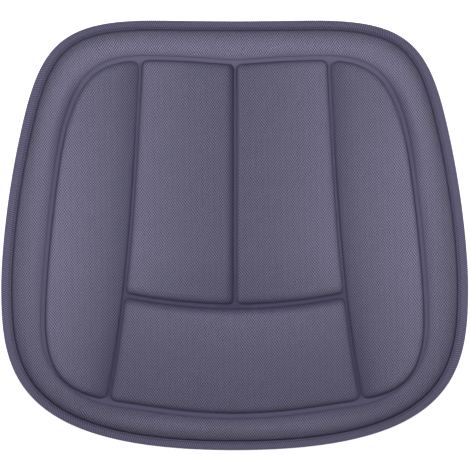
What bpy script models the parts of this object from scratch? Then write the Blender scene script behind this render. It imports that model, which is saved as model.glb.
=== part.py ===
"""Heat-pressed seat cushion: a woven cover bonded over shaped foam pads, with a taped edge.

The cushion lies flat on Z = 0. Its straight edge faces +Y and its wide, curved front edge
faces -Y. X = 0 is the plane of symmetry. Lengths are metres.
"""
import math

import bmesh
import bpy
from mathutils import Vector
from mathutils.geometry import interpolate_bezier, intersect_line_line_2d

# Overall size
WIDTH = 0.500
DEPTH = 0.460
HEIGHT = 0.029

# Clearance between pieces that touch on the real cushion
GAP = 0.0003

# Thickness of each sheet, from the floor up
GRIP = 0.0009
BACKING = 0.0006
BASE_FOAM = 0.0105
FILM = 0.0004
COVER = 0.0011
TAPE = 0.0008
THREAD = 0.0004

# Height of the cover's crest over each pad
BOLSTER_CREST = HEIGHT
CENTRE_CREST = 0.0265
FRONT_CREST = 0.0258
ROLL_CREST = 0.0225

# Levels that follow from the sheets
BACKING_Z = GRIP + GAP
BASE_Z = BACKING_Z + BACKING + GAP
FILM_Z = BASE_Z + BASE_FOAM + GAP
PAD_Z = FILM_Z + FILM + GAP
LAND_Z = PAD_Z + COVER

# The pressed edge, from the lower fold of the tape up
TAPE_Z = 2 * GAP + THREAD / 2
EDGE_BACKING_Z = TAPE_Z + TAPE + GAP
EDGE_COVER_Z = EDGE_BACKING_Z + BACKING + GAP
TAPE_TOP_Z = EDGE_COVER_Z + COVER + GAP

# The tape is narrowest at front and rear, and this share wider at the sides
TAPE_WIDTH = 0.0094
SIDE_WIDENING = 0.21
# How far the cover and the lining stand back inside the tape's fold
TUCK = 0.32 * TAPE_WIDTH
# The seam's place across the tape
SEAM_INSET = 0.90 * TAPE_WIDTH

# The grip layer stops short of the tape, and the base foam slopes back over this run
SLOPE_RUN = 0.003
GRIP_INSET = TAPE_WIDTH + SLOPE_RUN

# Widths of the pressed channels
RIM_CHANNEL = 0.0058
BOLSTER_CHANNEL = 0.0026
CENTRE_CHANNEL = 0.0050
CROSS_CHANNEL = 0.0066
PAD_CORNER = 0.008

# Knots of the right half of a closed line, rear centre to front centre:
# x, y, heading in degrees, length of the handle behind, length of the handle ahead
OUTLINE = (
    (0.0, 0.2292, 0, 0.0, 0.030),
    (0.088, DEPTH / 2, 0, 0.014, 0.097),
    (0.227, 0.120, -77, 0.086, 0.088),
    (WIDTH / 2, -0.055, -90, 0.020, 0.088),
    (0.0, -DEPTH / 2, 180, 0.240, 0.0),
)
RIM_LINE = (
    (0.0, 0.1853, 0, 0.0, 0.020),
    (0.098, 0.1898, 0, 0.055, 0.049),
    (0.189, 0.080, -81, 0.080, 0.050),
    (0.205, -0.090, -90, 0.040, 0.055),
    (0.126, -0.180, 188, 0.060, 0.040),
    (0.0, -0.1928, 180, 0.050, 0.0),
)
# Line between a bolster and the seat pads, rear to front, as one curve with two handles
BOLSTER_LINE = ((0.101, 0.200), (0.107, 0.090), (0.1125, -0.070), (0.142, -0.200))
# The line across the cushion bows forward in the middle: y = CROSS_Y + CROSS_BOW * x * x
CROSS_Y = -0.0758
CROSS_BOW = 0.88
CROSS_REACH = 0.16

# The line inside each pad that its crest draws in towards
BOLSTER_SPINE = ((0.146, 0.135), (0.163, -0.115))
CENTRE_SPINE = ((0.054, 0.135), (0.058, -0.022))
FRONT_SPINE = ((-0.070, -0.131), (0.070, -0.131))

RIM_POINTS = 32
CURVE_STEPS = 24
FINE_STEPS = 200

# Shape of a crest: share of the way in from the foot, share of the rise
PAD_PROFILE = ((0.0, 0.0), (0.04, 0.36), (0.12, 0.68), (0.32, 0.91), (0.75, 1.0))
ROLL_PROFILE = (
    (0.05, 0.30), (0.14, 0.62), (0.30, 0.88), (0.52, 1.0),
    (0.72, 0.95), (0.87, 0.74), (0.95, 0.38), (1.0, 0.0),
)
# How far the foam stands in from the cover's steep sides, as a share of the profile
FOAM_INSET = 0.015


def clear_scene():
    for old in list(bpy.data.objects):
        bpy.data.objects.remove(old, do_unlink=True)


def make_material(name, colour, roughness):
    material = bpy.data.materials.new(name)
    material.use_nodes = True
    shader = material.node_tree.nodes["Principled BSDF"]
    shader.inputs["Base Color"].default_value = (*colour, 1.0)
    shader.inputs["Roughness"].default_value = roughness
    shader.inputs["Metallic"].default_value = 0.0
    return material


# Lines in the plane

def curve_through(knots):
    """Points of the smooth line through knots that carry headings and handle lengths."""
    line = []
    for start, end in zip(knots, knots[1:]):
        a = Vector(start[:2])
        d = Vector(end[:2])
        ahead = math.radians(start[2])
        behind = math.radians(end[2])
        b = a + start[4] * Vector((math.cos(ahead), math.sin(ahead)))
        c = d - end[3] * Vector((math.cos(behind), math.sin(behind)))
        line += interpolate_bezier(a, b, c, d, CURVE_STEPS)[:-1]
    line.append(Vector(knots[-1][:2]))
    return [Vector(point[:2]) for point in line]


def resample(line, count):
    """The same line with count + 1 points, evenly spaced along it."""
    lengths = [0.0]
    for a, b in zip(line, line[1:]):
        lengths.append(lengths[-1] + (b - a).length)
    points = []
    place = 0
    for step in range(count + 1):
        wanted = lengths[-1] * step / count
        while place < len(line) - 2 and lengths[place + 1] < wanted:
            place += 1
        share = (wanted - lengths[place]) / (lengths[place + 1] - lengths[place])
        points.append(line[place].lerp(line[place + 1], share))
    return points


def mirrored(half):
    """A closed loop from the right half of it, rear centre to front centre."""
    left = [Vector((-point.x, point.y)) for point in half[-2:0:-1]]
    return half + left


def normals_in(loop):
    """Unit normals that point into a loop that runs clockwise, seen from above."""
    result = []
    for index, point in enumerate(loop):
        along = loop[(index + 1) % len(loop)] - loop[index - 1]
        result.append(Vector((along.y, -along.x)).normalized())
    return result


def inset(loop, distance, widening=0.0):
    """The loop moved inwards, by more where it faces sideways if widening is given."""
    moved = []
    for point, normal in zip(loop, normals_in(loop)):
        moved.append(point + normal * distance * (1 + widening * normal.x ** 2))
    return moved


def shifted(line, distance):
    """An open line moved to its left, seen along its own direction."""
    moved = []
    for index, point in enumerate(line):
        before = line[max(index - 1, 0)]
        after = line[min(index + 1, len(line) - 1)]
        along = (after - before).normalized()
        moved.append(point + distance * Vector((-along.y, along.x)))
    return moved


def crossing(first, second):
    """Where two open lines cross: the point, and the segment of each line that holds it."""
    for i, (a, b) in enumerate(zip(first, first[1:])):
        for j, (c, d) in enumerate(zip(second, second[1:])):
            hit = intersect_line_line_2d(a, b, c, d)
            if hit is not None:
                return hit, i, j
    raise ValueError("the lines don't cross")


def between(line, start, end):
    """The stretch of a line between the lines that cross it at its start and its end."""
    first, low, _ = crossing(line, start)
    last, high, _ = crossing(line, end)
    if low <= high:
        return [first] + line[low + 1:high + 1] + [last]
    return [first] + line[low:high:-1] + [last]


def cut_sides(lines):
    """Each line of a closed run, cut where the lines before and after it cross it."""
    count = len(lines)
    return [between(lines[i], lines[i - 1], lines[(i + 1) % count]) for i in range(count)]


def rounded_outline(sides, counts):
    """A closed outline from sides that meet at their ends, with rounded corners."""
    trimmed = []
    for side, count in zip(sides, counts):
        length = sum((b - a).length for a, b in zip(side, side[1:]))
        fine = resample(side, FINE_STEPS)
        trim = max(1, round(FINE_STEPS * PAD_CORNER / length))
        trimmed.append(resample(fine[trim:-trim], count))
    outline = []
    for index, stretch in enumerate(trimmed):
        arrival = trimmed[(index + 1) % len(trimmed)][0]
        corner = sides[index][-1]
        outline += stretch
        outline.append(0.25 * stretch[-1] + 0.5 * corner + 0.25 * arrival)
    return outline


# Solids

def lift(loop, height):
    return [Vector((point.x, point.y, height)) for point in loop]


def finish(name, mesh_data, material, smooth_angle=50):
    bmesh.ops.recalc_face_normals(mesh_data, faces=mesh_data.faces)
    mesh = bpy.data.meshes.new(name)
    mesh_data.to_mesh(mesh)
    mesh_data.free()
    mesh.shade_smooth()
    mesh.set_sharp_from_angle(angle=math.radians(smooth_angle))
    mesh.materials.append(material)
    piece = bpy.data.objects.new(name, mesh)
    bpy.context.scene.collection.objects.link(piece)
    return piece


def bridge(mesh_data, loops, closed_section=False):
    """Vertex rings for each loop, with a strip of faces from each ring to the next."""
    rings = [[mesh_data.verts.new(point) for point in loop] for loop in loops]
    pairs = list(zip(rings, rings[1:]))
    if closed_section:
        pairs.append((rings[-1], rings[0]))
    for inner, outer in pairs:
        for index in range(len(inner)):
            after = (index + 1) % len(inner)
            mesh_data.faces.new((inner[index], inner[after], outer[after], outer[index]))
    return rings


def make_plate(name, section, outline, material):
    """A plate from a section of (inset, height), its first and last loop filled."""
    loops = [lift(inset(outline, distance, SIDE_WIDENING), z) for distance, z in section]
    mesh_data = bmesh.new()
    rings = bridge(mesh_data, loops)
    mesh_data.faces.new(rings[0])
    mesh_data.faces.new(rings[-1])
    return finish(name, mesh_data, material)


def make_ring(name, section, outline, material):
    """A closed ring that follows the outline, from a closed section of (inset, height)."""
    loops = [lift(inset(outline, distance, SIDE_WIDENING), z) for distance, z in section]
    mesh_data = bmesh.new()
    bridge(mesh_data, loops, closed_section=True)
    return finish(name, mesh_data, material)


def nearest_on(spine, point):
    start, end = spine
    along = end - start
    share = max(0.0, min(1.0, (point - start).dot(along) / along.length_squared))
    return start + share * along


def shrunk(outline, spine, share):
    """The outline drawn in towards a pad's spine by a share of the way there."""
    return [point.lerp(nearest_on(spine, point), share) for point in outline]


def crown_loops(pad, profile, foot, lower=0.0, extra=0.0):
    """Loops of a pad's crest from its foot in, lowered and drawn in for the foam below."""
    loops = []
    for share, rise in profile:
        height = foot + rise * (pad["crest"] - foot) - lower
        loops.append(lift(shrunk(pad["outline"], pad["spine"], share + extra), height))
    return loops


def roll_loops(outer, inner, lower=0.0, extra=0.0):
    """Loops of the padded rim, from the tape's edge to the channel inside it."""
    loops = []
    for share, rise in ROLL_PROFILE:
        foot = EDGE_COVER_Z + COVER if share < 0.5 else LAND_Z
        height = foot + rise * (ROLL_CREST - foot) - lower
        place = share + (extra if share < 0.5 else -extra)
        loops.append(lift([a.lerp(b, place) for a, b in zip(outer, inner)], height))
    return loops


def make_pad_foam(name, pad, material):
    """The foam under one pad of the cover: flat below, crowned above."""
    lowered = COVER + GAP
    loops = crown_loops(pad, PAD_PROFILE[1:], LAND_Z, lowered, FOAM_INSET)
    floor = [Vector((point.x, point.y, PAD_Z)) for point in loops[0]]
    mesh_data = bmesh.new()
    rings = bridge(mesh_data, [floor] + loops)
    mesh_data.faces.new(rings[0])
    mesh_data.faces.new(rings[-1])
    return finish(name, mesh_data, material)


def make_roll_foam(name, outer, inner, material):
    """The foam ring inside the padded rim, with its flat underside."""
    loops = roll_loops(outer, inner, COVER + GAP, FOAM_INSET)[1:-1]
    sole = [[Vector((point.x, point.y, PAD_Z)) for point in loop] for loop in (loops[0], loops[-1])]
    mesh_data = bmesh.new()
    bridge(mesh_data, [sole[0]] + loops + [sole[1]], closed_section=True)
    return finish(name, mesh_data, material)


def make_cover(name, outline, seam, rim_foot, pads, material):
    """One sheet: flat under the tape, over the rim, down to the channels and over each pad."""
    flat_z = EDGE_COVER_Z + COVER
    tucked = lift(inset(outline, TUCK, SIDE_WIDENING), flat_z)
    mesh_data = bmesh.new()
    rings = bridge(mesh_data, [tucked, lift(seam, flat_z)] + roll_loops(seam, rim_foot))
    borders = [rings[-1]]
    for pad in pads:
        crown = bridge(mesh_data, crown_loops(pad, PAD_PROFILE, LAND_Z))
        mesh_data.faces.new(crown[-1])
        borders.append(crown[0])
    edges = []
    for ring in borders:
        for index, corner in enumerate(ring):
            edges.append(mesh_data.edges.get((corner, ring[index - 1])))
    bmesh.ops.triangle_fill(mesh_data, use_beauty=True, edges=edges, normal=(0, 0, 1))
    bmesh.ops.recalc_face_normals(mesh_data, faces=mesh_data.faces)
    sheet = mesh_data.faces[:]
    copied = bmesh.ops.extrude_face_region(mesh_data, geom=sheet, use_keep_orig=True)
    lower = [item for item in copied["geom"] if isinstance(item, bmesh.types.BMVert)]
    bmesh.ops.translate(mesh_data, verts=lower, vec=(0, 0, -COVER))
    return finish(name, mesh_data, material)


# Plan of the cushion

def plan_pads(rim_channel):
    """The outline, spine and crest of each pad, on the plan inside the rim's channel."""
    field = inset(rim_channel, RIM_CHANNEL / 2)
    half = field[:len(field) // 2 + 1]
    wall = [Vector(point[:2]) for point in interpolate_bezier(
        *[Vector((*point, 0.0)) for point in BOLSTER_LINE], CURVE_STEPS)]
    bolster_side = shifted(wall, BOLSTER_CHANNEL / 2)
    seat_side = shifted(wall, -BOLSTER_CHANNEL / 2)
    middle = [Vector((CENTRE_CHANNEL / 2, DEPTH / 2)), Vector((CENTRE_CHANNEL / 2, -DEPTH / 4))]
    xs = [CROSS_REACH * (2 * step / CURVE_STEPS - 1) for step in range(CURVE_STEPS + 1)]
    cross = [Vector((x, CROSS_Y + CROSS_BOW * x * x)) for x in xs]
    cross_rear = [point + Vector((0, CROSS_CHANNEL / 2)) for point in cross]
    cross_front = [point - Vector((0, CROSS_CHANNEL / 2)) for point in cross]
    rear_run = [Vector((-half[1].x, half[1].y))] + half[:RIM_POINTS // 2]
    front_half = half[RIM_POINTS // 2:]
    front_run = front_half + [Vector((-point.x, point.y)) for point in front_half[-2::-1]]
    left_wall = [Vector((-point.x, point.y)) for point in seat_side]
    split = CURVE_STEPS // 2
    bolster_sides = (
        between(half, bolster_side[:split], bolster_side[split:]),
        between(bolster_side, half[RIM_POINTS // 2:], half[:RIM_POINTS // 2]),
    )
    bolster = rounded_outline(bolster_sides, (16, 10))
    centre = rounded_outline(cut_sides((rear_run, seat_side, cross_rear, middle)), (4, 6, 4, 6))
    front = rounded_outline(cut_sides((cross_front, seat_side, front_run, left_wall)), (7, 4, 7, 4))
    return {
        "bolster": (bolster, BOLSTER_SPINE, BOLSTER_CREST),
        "centre": (centre, CENTRE_SPINE, CENTRE_CREST),
        "front": (front, FRONT_SPINE, FRONT_CREST),
    }


def as_pad(shape, side=1):
    outline, spine, crest = shape
    placed = [Vector((side * point.x, point.y)) for point in outline]
    if side < 0:
        placed.reverse()
    return {
        "outline": placed,
        "spine": [Vector((side * x, y)) for x, y in spine],
        "crest": crest,
    }


def make_layers(outline, lining, firm_foam, web, grip):
    """The flat sheets below the pads, from the floor up."""
    make_plate("grip_layer", ((GRIP_INSET, 0.0), (GRIP_INSET, GRIP)), outline, grip)
    # The lining steps up from the grip layer to the tape's fold
    under = SLOPE_RUN / 2
    over = under - GAP
    backing_section = (
        (GRIP_INSET + under, BACKING_Z),
        (TAPE_WIDTH + under, EDGE_BACKING_Z),
        (TUCK, EDGE_BACKING_Z),
        (TUCK, EDGE_BACKING_Z + BACKING),
        (TAPE_WIDTH + over, EDGE_BACKING_Z + BACKING),
        (GRIP_INSET + over, BACKING_Z + BACKING),
    )
    make_plate("backing_cloth", backing_section, outline, lining)
    base_section = (
        (GRIP_INSET + under, BASE_Z),
        (GRIP_INSET - under / 2, BASE_Z + under / 2),
        (GRIP_INSET, BASE_Z + BASE_FOAM / 2),
        (GRIP_INSET + SLOPE_RUN, BASE_Z + BASE_FOAM),
    )
    make_plate("base_foam", base_section, outline, firm_foam)
    film_inset = GRIP_INSET + SLOPE_RUN
    film_section = ((film_inset, FILM_Z), (film_inset, FILM_Z + FILM))
    make_plate("bonding_film", film_section, outline, web)


def make_edge(outline, tape, thread):
    """The tape folded over the edge of the sheets, and the seam through it."""
    fold_z = (TAPE_Z + TAPE_TOP_Z + TAPE) / 2
    bend = 0.05 * TAPE_WIDTH
    turn = 0.20 * TAPE_WIDTH
    inner_turn = 0.25 * TAPE_WIDTH
    tape_section = (
        (TAPE_WIDTH, TAPE_TOP_Z),
        (TAPE_WIDTH, TAPE_TOP_Z + TAPE),
        (turn, TAPE_TOP_Z + TAPE),
        (bend, TAPE_TOP_Z + TAPE / 4),
        (0.0, fold_z),
        (bend, TAPE_Z + TAPE - TAPE / 4),
        (turn, TAPE_Z),
        (TAPE_WIDTH, TAPE_Z),
        (TAPE_WIDTH, TAPE_Z + TAPE),
        (inner_turn, TAPE_Z + TAPE),
        (turn, fold_z),
        (inner_turn, TAPE_TOP_Z),
    )
    make_ring("edge_binding", tape_section, outline, tape)
    for name, base, rise in (
        ("needle_thread", TAPE_TOP_Z + TAPE + GAP, THREAD),
        ("bobbin_thread", TAPE_Z - GAP, -THREAD),
    ):
        section = (
            (SEAM_INSET, base),
            (SEAM_INSET + THREAD, base),
            (SEAM_INSET + THREAD / 2, base + rise),
        )
        make_ring(name, section, outline, thread)


def build():
    clear_scene()
    woven = make_material("woven_cover", (0.115, 0.105, 0.160), 0.85)
    tape = make_material("ribbed_tape", (0.110, 0.100, 0.150), 0.80)
    thread = make_material("sewing_thread", (0.100, 0.090, 0.135), 0.60)
    soft_foam = make_material("soft_foam", (0.80, 0.78, 0.70), 0.95)
    firm_foam = make_material("firm_foam", (0.42, 0.43, 0.45), 0.95)
    web = make_material("hot_melt_web", (0.85, 0.85, 0.82), 0.50)
    lining = make_material("backing_cloth", (0.030, 0.030, 0.034), 0.90)
    grip = make_material("grip_coating", (0.018, 0.018, 0.020), 0.55)

    outline = mirrored(resample(curve_through(OUTLINE), RIM_POINTS))
    rim_channel = mirrored(resample(curve_through(RIM_LINE), RIM_POINTS))
    seam = inset(outline, TAPE_WIDTH + 2 * GAP, SIDE_WIDENING)
    rim_foot = inset(rim_channel, -RIM_CHANNEL / 2)
    plan = plan_pads(rim_channel)
    pads = {
        "right_bolster_foam": as_pad(plan["bolster"]),
        "left_bolster_foam": as_pad(plan["bolster"], -1),
        "centre_right_foam": as_pad(plan["centre"]),
        "centre_left_foam": as_pad(plan["centre"], -1),
        "front_foam": as_pad(plan["front"]),
    }

    make_cover("top_cover", outline, seam, rim_foot, pads.values(), woven)
    for name, pad in pads.items():
        make_pad_foam(name, pad, soft_foam)
    make_roll_foam("rim_foam", seam, rim_foot, soft_foam)
    make_layers(outline, lining, firm_foam, web, grip)
    make_edge(outline, tape, thread)


build()
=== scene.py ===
import math
from functools import partial

import bpy
import numpy as np
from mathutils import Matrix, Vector
from mathutils.geometry import delaunay_2d_cdt, interpolate_bezier
from mathutils.kdtree import KDTree


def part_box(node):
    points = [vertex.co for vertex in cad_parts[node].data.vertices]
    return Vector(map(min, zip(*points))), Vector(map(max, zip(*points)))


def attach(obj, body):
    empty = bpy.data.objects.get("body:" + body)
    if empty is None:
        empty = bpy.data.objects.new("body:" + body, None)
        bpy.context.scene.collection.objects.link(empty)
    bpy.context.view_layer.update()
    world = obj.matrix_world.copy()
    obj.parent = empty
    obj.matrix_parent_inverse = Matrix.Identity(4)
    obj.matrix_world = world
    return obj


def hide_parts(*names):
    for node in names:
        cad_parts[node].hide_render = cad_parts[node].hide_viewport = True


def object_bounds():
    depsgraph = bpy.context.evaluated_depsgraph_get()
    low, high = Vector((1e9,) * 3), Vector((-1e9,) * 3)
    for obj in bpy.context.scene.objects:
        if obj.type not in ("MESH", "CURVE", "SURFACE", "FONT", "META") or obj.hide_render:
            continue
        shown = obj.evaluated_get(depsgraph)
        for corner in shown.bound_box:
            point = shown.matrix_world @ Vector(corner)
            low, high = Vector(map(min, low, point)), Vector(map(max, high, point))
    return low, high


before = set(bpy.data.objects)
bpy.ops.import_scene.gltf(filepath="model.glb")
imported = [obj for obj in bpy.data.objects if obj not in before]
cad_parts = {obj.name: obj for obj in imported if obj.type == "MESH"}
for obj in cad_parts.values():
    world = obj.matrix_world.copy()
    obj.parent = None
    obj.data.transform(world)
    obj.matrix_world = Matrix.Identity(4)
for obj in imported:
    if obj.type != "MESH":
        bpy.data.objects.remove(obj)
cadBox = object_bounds()
bpy.ops.object.select_all(action="DESELECT")

# The plan of the cushion, in metres. A knot is x, y, heading, handle behind, handle ahead,
# and each line runs over the right half from the rear centre to the front centre.
plan = {
    "outline": (
        (0.0, 0.2292, 0, 0.0, 0.030),
        (0.088, 0.2300, 0, 0.014, 0.097),
        (0.227, 0.120, -77, 0.086, 0.088),
        (0.250, -0.055, -90, 0.020, 0.088),
        (0.0, -0.2300, 180, 0.240, 0.0),
    ),
    "rimLine": (
        (0.0, 0.1853, 0, 0.0, 0.020),
        (0.098, 0.1898, 0, 0.055, 0.049),
        (0.189, 0.080, -81, 0.080, 0.050),
        (0.205, -0.090, -90, 0.040, 0.055),
        (0.126, -0.180, 188, 0.060, 0.040),
        (0.0, -0.1928, 180, 0.050, 0.0),
    ),
    "bolsterLine": ((0.101, 0.200), (0.107, 0.090), (0.1125, -0.070), (0.142, -0.200)),
    "wallShift": -0.0015,
    "crossY": -0.0758, "crossBow": 0.88, "crossReach": 0.16,
    "rimFootSide": 0.0018, "rimFootCorner": 0.0036, "rimFootFrontCorner": -0.0020,
    "rimFootFront": 0.0010,
    "padFootSide": 0.0025, "padFootCorner": 0.0027, "padFootFrontCorner": 0.0007,
    "wallChannel": 0.0026, "crossChannel": 0.0042, "middleRight": 0.0019, "middleLeft": 0.0009,
    "tapeWidth": 0.0094, "seamGap": 0.0006, "sideWidening": 0.13,
    "spacing": 0.0025, "lineSteps": 200,
    "bolsterCorners": (0.009, 0.011),
    "centreCorners": (0.007, 0.006, 0.006, 0.006),
    "frontCorners": (0.007, 0.008, 0.008, 0.007),
}

# Levels read from the frame
clearance = 0.0003
coverSheet = 0.0011
coverOver = clearance + coverSheet
level = {
    "land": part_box("bonding_film")[1].z + coverOver,
    "bolster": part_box("left_bolster_foam")[1].z + coverOver,
    "centre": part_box("centre_left_foam")[1].z + coverOver,
    "front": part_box("front_foam")[1].z + coverOver,
    "roll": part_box("rim_foam")[1].z + coverOver,
    "edge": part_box("top_cover")[0].z + coverSheet,
    "tapeLow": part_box("edge_binding")[0].z,
    "tapeHigh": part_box("edge_binding")[1].z,
    "baseLow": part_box("base_foam")[0].z,
    "baseHigh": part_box("base_foam")[1].z,
    "filmHigh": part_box("bonding_film")[1].z,
}


def hexColour(text):
    # sRGB hex to linear
    values = [int(text[i:i + 2], 16) / 255 for i in (1, 3, 5)]
    linear = [v / 12.92 if v <= 0.04045 else ((v + 0.055) / 1.055) ** 2.4 for v in values]
    return (*linear, 1.0)


def addNode(tree, kind, settings=None, inputs=None):
    # adds a node, sets its properties, fills or links its inputs, and gives its outputs
    node = tree.nodes.new("ShaderNode" + kind)
    for key, value in (settings or {}).items():
        setattr(node, key, value)
    for key, value in (inputs or {}).items():
        if isinstance(value, bpy.types.NodeSocket):
            tree.links.new(value, node.inputs[key])
        else:
            node.inputs[key].default_value = hexColour(value) if isinstance(value, str) else value
    return node.outputs


def newMaterial(name, roughness, sheen=0.0, gloss=0.5):
    material = bpy.data.materials.new(name)
    material.use_nodes = True
    shader = material.node_tree.nodes["Principled BSDF"]
    shader.inputs["Roughness"].default_value = roughness
    shader.inputs["Sheen Weight"].default_value = sheen
    shader.inputs["Specular IOR Level"].default_value = gloss
    return material, shader, partial(addNode, material.node_tree)


def dressed(material, colour, height=None, strength=0.0, depth=0.0):
    # links a material's colour and, where it has one, its relief
    tree = material.node_tree
    shader = tree.nodes["Principled BSDF"]
    tree.links.new(colour, shader.inputs["Base Color"])
    if height is not None:
        bump = addNode(tree, "Bump", inputs={
            "Strength": strength, "Distance": depth, "Height": height})
        tree.links.new(bump[0], shader.inputs["Normal"])
    return material


# Lines on the plan, as arrays of points

def lineThrough(knots, steps=80):
    line = []
    for start, end in zip(knots, knots[1:]):
        a, d = Vector((*start[:2], 0)), Vector((*end[:2], 0))
        ahead, behind = math.radians(start[2]), math.radians(end[2])
        b = a + start[4] * Vector((math.cos(ahead), math.sin(ahead), 0))
        c = d - end[3] * Vector((math.cos(behind), math.sin(behind), 0))
        line += interpolate_bezier(a, b, c, d, steps)[:-1]
    line.append(Vector((*knots[-1][:2], 0)))
    return np.array(line)[:, :2]


def lengthOf(line):
    return np.linalg.norm(np.diff(line, axis=0), axis=1).sum()


def evenly(line, count):
    along = np.concatenate([[0], np.cumsum(np.linalg.norm(np.diff(line, axis=0), axis=1))])
    at = np.linspace(0, along[-1], count + 1)
    return np.stack([np.interp(at, along, line[:, k]) for k in (0, 1)], axis=1)


def mirrored(half):
    # a closed loop from its right half, clockwise from above
    return np.concatenate([half, half[-2:0:-1] * (-1, 1)])


def inwards(loop):
    along = np.roll(loop, -1, axis=0) - np.roll(loop, 1, axis=0)
    normal = np.stack([along[:, 1], -along[:, 0]], axis=1)
    return normal / np.linalg.norm(normal, axis=1)[:, None]


def inset(loop, distance, widening=0.0):
    normal = inwards(loop)
    return loop + normal * distance * (1 + widening * normal[:, :1] ** 2)


def beside(line, distance):
    along = np.gradient(line, axis=0)
    normal = np.stack([-along[:, 1], along[:, 0]], axis=1)
    return line + distance * normal / np.linalg.norm(normal, axis=1)[:, None]


def crossing(first, second):
    # place along each line, in whole and part segments, where they cross
    a, b = first[:-1, None], first[1:, None]
    c, d = second[None, :-1], second[None, 1:]
    r, s, q = b - a, d - c, c - a
    cross = r[..., 0] * s[..., 1] - r[..., 1] * s[..., 0]
    cross = np.where(np.abs(cross) < 1e-15, 1e-15, cross)
    t = (q[..., 0] * s[..., 1] - q[..., 1] * s[..., 0]) / cross
    u = (q[..., 0] * r[..., 1] - q[..., 1] * r[..., 0]) / cross
    i, j = np.argwhere((t >= 0) & (t <= 1) & (u >= 0) & (u <= 1))[0]
    return i + t[i, j]


def stretch(line, start, end, count=400):
    # the part of a line between the two lines that cross it
    places = np.linspace(crossing(line, start), crossing(line, end), count)
    index = np.arange(len(line))
    return np.stack([np.interp(places, index, line[:, k]) for k in (0, 1)], axis=1)


def roundedOutline(sides, radii, fine=400):
    # closed outline of sides that meet, each with the radius of the corner at its end
    outline = []
    for index, side in enumerate(sides):
        after = sides[(index + 1) % len(sides)]
        length = lengthOf(side)
        low = round(fine * radii[index - 1] / length)
        high = fine - round(fine * radii[index] / length)
        count = max(3, round((high - low) * length / fine / plan["spacing"]))
        run = evenly(evenly(side, fine)[low:high + 1], count)
        arrival = evenly(after, fine)[round(fine * radii[index] / lengthOf(after))]
        # a corner is about 1.4 radii long
        steps = max(4, round(1.4 * radii[index] / plan["spacing"]))
        t = np.linspace(0, 1, steps + 1)[1:-1, None]
        bend = (1 - t) ** 2 * run[-1] + 2 * t * (1 - t) * side[-1] + t ** 2 * arrival
        outline.append(np.concatenate([run, bend]))
    return np.concatenate(outline)


def depthIn(points, line, closed=True, sample=0.0004, reach=0.012, openReach=0.09):
    # distance from a line; inside a closed clockwise loop it is positive, outside negative.
    # Beyond the reach it isn't measured: it is twice the reach outside a loop, or 1 m.
    whole = np.concatenate([line, line[:1]]) if closed else line
    dense = evenly(whole, round(lengthOf(whole) / sample))
    normal = inwards(dense[:-1] if closed else dense)
    tree = KDTree(len(normal))
    for index in range(len(normal)):
        tree.insert((*dense[index], 0), index)
    tree.balance()
    depth = np.full(len(points), -2 * reach if closed else 1.0)
    reach = reach if closed else openReach
    near = ((points > line.min(axis=0) - reach) & (points < line.max(axis=0) + reach)).all(axis=1)
    found = [tree.find((*point, 0)) for point in points[near]]
    distance = np.array([hit[2] for hit in found])
    if closed and len(found):
        index = np.array([hit[1] for hit in found])
        across = ((points[near] - dense[index]) * normal[index]).sum(axis=1)
        distance = np.where(distance < 2 * sample, across, distance * np.sign(across + 1e-12))
    depth[near] = distance
    return depth


def wholeLoop(knots):
    half = lineThrough(knots)
    return mirrored(evenly(half, 2 * round(lengthOf(half) / plan["spacing"] / 2)))


print("Laying out the plan")
outline = wholeLoop(plan["outline"])
rimLine = wholeLoop(plan["rimLine"])
seamLoop = inset(outline, plan["tapeWidth"] + plan["seamGap"], plan["sideWidening"])
rimNormal = inwards(rimLine)
atCorner = 4 * (rimNormal[:, :1] * rimNormal[:, 1:]) ** 2
atRearCorner = np.where(rimNormal[:, 1:] < 0, atCorner, 0)
atFrontCorner = atCorner - atRearCorner
atFront = np.clip(rimNormal[:, 1:], 0, 1) ** 4
rimFoot = rimLine - rimNormal * (
    plan["rimFootSide"] + plan["rimFootCorner"] * atRearCorner
    + plan["rimFootFrontCorner"] * atFrontCorner + plan["rimFootFront"] * atFront)
field = rimLine + rimNormal * (
    plan["padFootSide"] - plan["padFootCorner"] * atRearCorner
    - plan["padFootFrontCorner"] * atFrontCorner)
fieldHalf = field[:len(field) // 2 + 1]
wallPoints = [Vector((*place, 0)) for place in plan["bolsterLine"]]
wallLine = np.array(interpolate_bezier(*wallPoints, plan["lineSteps"]))[:, :2]
wallLine = wallLine + (plan["wallShift"], 0)
bolsterSide = beside(wallLine, plan["wallChannel"] / 2)
seatSide = beside(wallLine, -plan["wallChannel"] / 2)
crossX = np.linspace(-plan["crossReach"], plan["crossReach"], plan["lineSteps"])
crossLine = np.stack([crossX, plan["crossY"] + plan["crossBow"] * crossX ** 2], axis=1)
crossRear = crossLine + (0, plan["crossChannel"] / 2)
crossFront = crossLine - (0, plan["crossChannel"] / 2)
middleOfHalf = len(fieldHalf) // 2
fieldRear = np.concatenate([fieldHalf[1:2] * (-1, 1), fieldHalf[:middleOfHalf + 1]])
fieldFront = np.concatenate([fieldHalf[middleOfHalf:], fieldHalf[-2:middleOfHalf:-1] * (-1, 1)])
leftSide = seatSide * (-1, 1)


def turned(shape):
    # the same outline on the other half of the cushion
    return shape[::-1] * (-1, 1)


def bolsterShape():
    half = len(bolsterSide) // 2
    return roundedOutline((
        stretch(fieldHalf, bolsterSide[:half], bolsterSide[half:]),
        stretch(bolsterSide, fieldFront, fieldRear),
    ), plan["bolsterCorners"])


def centreShape(middleX, rear=0.23, front=-0.12, count=100):
    # rear and front lie beyond both ends of the pad
    middle = np.stack([np.full(count, middleX), np.linspace(rear, front, count)], axis=1)
    return roundedOutline((
        stretch(fieldRear, middle, seatSide),
        stretch(seatSide, fieldRear, crossRear),
        stretch(crossRear, seatSide, middle),
        stretch(middle, crossRear, fieldRear),
    ), plan["centreCorners"])


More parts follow.
